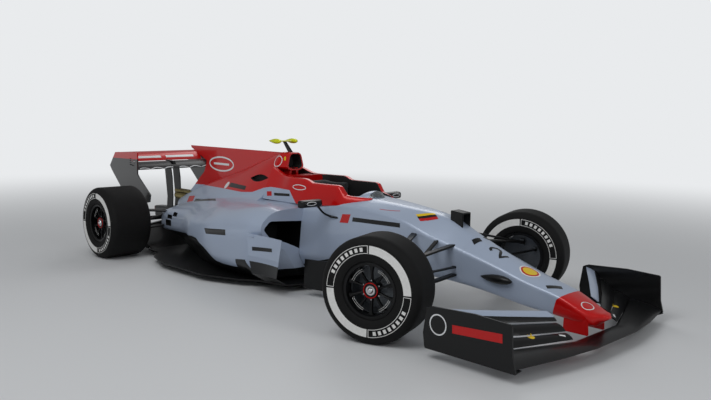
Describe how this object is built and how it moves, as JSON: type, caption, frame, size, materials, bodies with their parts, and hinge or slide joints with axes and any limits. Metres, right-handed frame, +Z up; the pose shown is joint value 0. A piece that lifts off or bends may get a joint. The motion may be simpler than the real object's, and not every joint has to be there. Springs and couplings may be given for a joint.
{
  "type": "open wheel racing car",
  "caption": "Single-seat open wheel racing car with wings, sidepods, shark fin and steered front wheels",
  "frame": {"origin": "on the ground under the middle of the car's length and width", "axes": "+X forward to the nose, +Y to the car's left, +Z up"},
  "size_m": [5.4751, 2.1634, 1.172],
  "materials": {
    "silver_paint": "glossy metallic silver-blue paint on carbon",
    "red_paint": "glossy red paint on carbon",
    "black_carbon": "satin black carbon",
    "tyre_rubber": "black rubber",
    "wheel_alloy": "dark magnesium alloy",
    "upright_alloy": "machined alloy and carbon",
    "engine_iron": "plain block",
    "exhaust_steel": "heat tinted steel",
    "pad_foam": "padded black cover",
    "screen": "clear polycarbonate",
    "camera_yellow": "yellow",
    "lamp_red": "red lens"
  },
  "bodies": {
    "root": {"chassis_tub": "silver_paint", "nose_cone": "silver_paint", "left_sidepod": "silver_paint", "right_sidepod": "silver_paint", "front_wing_top_flaps": "silver_paint", "engine_cover": "red_paint", "cockpit_surround": "red_paint", "roll_hoop_intake": "red_paint", "nose_fittings": "black_carbon", "front_wing_main_plane": "black_carbon", "front_wing_lower_flaps": "black_carbon", "front_wing_end_plates": "black_carbon", "floor": "black_carbon", "plank": "black_carbon", "diffuser": "black_carbon", "bargeboards": "black_carbon", "sidepod_vanes": "black_carbon", "mirrors": "black_carbon", "front_suspension": "black_carbon", "rear_suspension": "black_carbon", "rear_wing_main_plane": "black_carbon", "rear_wing_end_plates": "black_carbon", "rear_wing_pylons": "black_carbon", "dash": "black_carbon", "seat": "black_carbon", "rear_uprights": "upright_alloy", "gearbox": "upright_alloy", "radiators": "upright_alloy", "engine_block": "engine_iron", "exhaust": "exhaust_steel", "headrest": "pad_foam", "windscreen": "screen", "roof_camera": "camera_yellow", "rain_light": "lamp_red"},
    "left_front_knuckle": {"left_front_upright": "upright_alloy"},
    "right_front_knuckle": {"right_front_upright": "upright_alloy"},
    "left_front_wheel": {"left_front_tyre": "tyre_rubber", "left_front_rim": "wheel_alloy"},
    "right_front_wheel": {"right_front_tyre": "tyre_rubber", "right_front_rim": "wheel_alloy"},
    "left_rear_wheel": {"left_rear_tyre": "tyre_rubber", "left_rear_rim": "wheel_alloy"},
    "right_rear_wheel": {"right_rear_tyre": "tyre_rubber", "right_rear_rim": "wheel_alloy"},
    "steering_rack": {"track_rods": "black_carbon"},
    "hand_wheel": {"steering_wheel": "black_carbon"},
    "moving_flap": {"drs_flap": "black_carbon"}
  },
  "joints": [
    {"name": "left_steer", "type": "hinge", "parent": "root", "child": "left_front_knuckle", "pos_m": [1.5475, 0.78, 0.335], "axis": [0, 0, 1], "range_deg": [-39.25, 0.75]},
    {"name": "right_steer", "type": "hinge", "parent": "root", "child": "right_front_knuckle", "pos_m": [1.5475, -0.78, 0.335], "axis": [0, 0, 1], "range_deg": [-39.3, 0.8]},
    {"name": "rack_slide", "type": "slide", "parent": "root", "child": "steering_rack", "axis": [0, 1, 0], "range_m": [-0.0639, 0.0013]},
    {"name": "hand_wheel_turn", "type": "hinge", "parent": "root", "child": "hand_wheel", "pos_m": [0.5175, 0, 0.64], "axis": [-0.9272, 0, 0.3746], "range_deg": [-354, 7]},
    {"name": "left_front_roll", "type": "hinge", "parent": "left_front_knuckle", "child": "left_front_wheel", "pos_m": [1.52525, 0.84373, 0.335], "axis": [-0.3297, 0.9441, 0], "continuous": true},
    {"name": "right_front_roll", "type": "hinge", "parent": "right_front_knuckle", "child": "right_front_wheel", "pos_m": [1.56975, -0.84373, 0.335], "axis": [-0.3297, 0.9441, 0], "continuous": true},
    {"name": "left_rear_roll", "type": "hinge", "parent": "root", "child": "left_rear_wheel", "pos_m": [-1.9725, 0.7975, 0.335], "axis": [0, 1, 0], "continuous": true},
    {"name": "right_rear_roll", "type": "hinge", "parent": "root", "child": "right_rear_wheel", "pos_m": [-1.9725, -0.7975, 0.335], "axis": [0, 1, 0], "continuous": true},
    {"name": "flap_tilt", "type": "hinge", "parent": "root", "child": "moving_flap", "pos_m": [-2.5765, 0, 0.944], "axis": [0, -1, 0], "range_deg": [0, 17]}
  ],
  "couplings": [
    {"joint": "right_steer", "follows": "left_steer", "ratio": 1},
    {"joint": "rack_slide", "follows": "left_steer", "m_per_rad": 0.0931},
    {"joint": "hand_wheel_turn", "follows": "left_steer", "ratio": 9}
  ]
}
